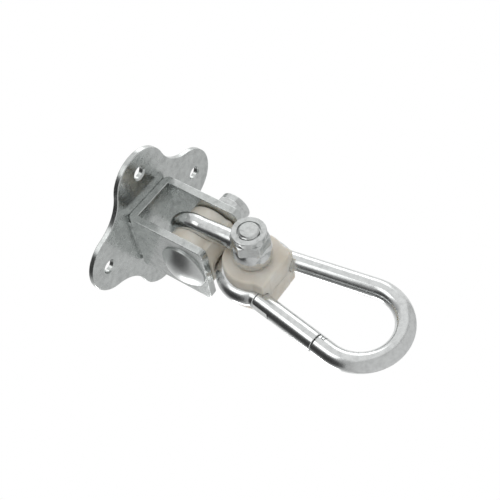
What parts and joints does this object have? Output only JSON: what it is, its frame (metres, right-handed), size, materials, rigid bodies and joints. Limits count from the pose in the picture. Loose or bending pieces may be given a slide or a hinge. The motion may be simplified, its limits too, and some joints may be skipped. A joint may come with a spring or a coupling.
{
  "type": "hanging roof anchor",
  "caption": "Steel roof anchor: lobed screw plate with clevis, two-way swivel on nylon bearings, and a pear-shaped snap hook with sprung gate.",
  "frame": {"origin": "centre of the base plate's back face, which lies against the roof beam", "axes": "+Z into the beam, so the anchor hangs along -Z; X along the pivot bolt with its nut at +X; Y along the swivel bolt with its nut at -Y"},
  "size_m": [0.095, 0.095, 0.153],
  "materials": {
    "plate_zinc": "satin zinc plating, slightly mottled",
    "rod_zinc": "bright zinc plating",
    "fastener_zinc": "bright zinc plating",
    "bearing_nylon": "cream moulded nylon",
    "insert_nylon": "white nylon",
    "inner_steel": "plain steel"
  },
  "bodies": {
    "anchor": {"base_plate": "plate_zinc", "clevis_bracket": "plate_zinc", "clevis_welds": "plate_zinc", "pivot_bolt": "fastener_zinc", "pivot_washer": "fastener_zinc", "pivot_nut": "fastener_zinc", "pivot_nut_insert": "insert_nylon", "pivot_sleeve": "inner_steel"},
    "link": {"swivel_link": "rod_zinc", "pivot_bearing_near": "bearing_nylon", "pivot_bearing_far": "bearing_nylon", "swivel_bolt": "fastener_zinc", "swivel_nut": "fastener_zinc", "swivel_nut_insert": "insert_nylon", "swivel_sleeve": "inner_steel"},
    "hook": {"hook_body": "rod_zinc", "swivel_bearing_upper": "bearing_nylon", "swivel_bearing_lower": "bearing_nylon"},
    "gate": {"gate": "rod_zinc", "gate_pin": "rod_zinc", "gate_spring": "inner_steel"},
    "plunger": {"gate_plunger": "inner_steel"}
  },
  "joints": [
    {"name": "link_swing", "type": "hinge", "parent": "anchor", "child": "link", "pos_m": [0, 0, -0.0354], "axis": [1, 0, 0], "range_deg": [-24, 24]},
    {"name": "hook_swing", "type": "hinge", "parent": "link", "child": "hook", "pos_m": [0, 0, -0.068], "axis": [0, 1, 0], "range_deg": [-70, 70]},
    {"name": "gate_hinge", "type": "hinge", "parent": "hook", "child": "gate", "pos_m": [-0.014, 0, -0.08231], "axis": [0, -1, 0], "range_deg": [0, 22], "stiffness_Nm_per_rad": 0.15, "springref_deg": -28.65},
    {"name": "plunger_slide", "type": "slide", "parent": "gate", "child": "plunger", "axis": [-0.1607, 0, -0.987], "range_m": [0, 0.0007], "deforming": ["gate_spring"]}
  ],
  "couplings": [
    {"joint": "plunger_slide", "follows": "gate_hinge", "m_per_rad": 0.0018}
  ]
}
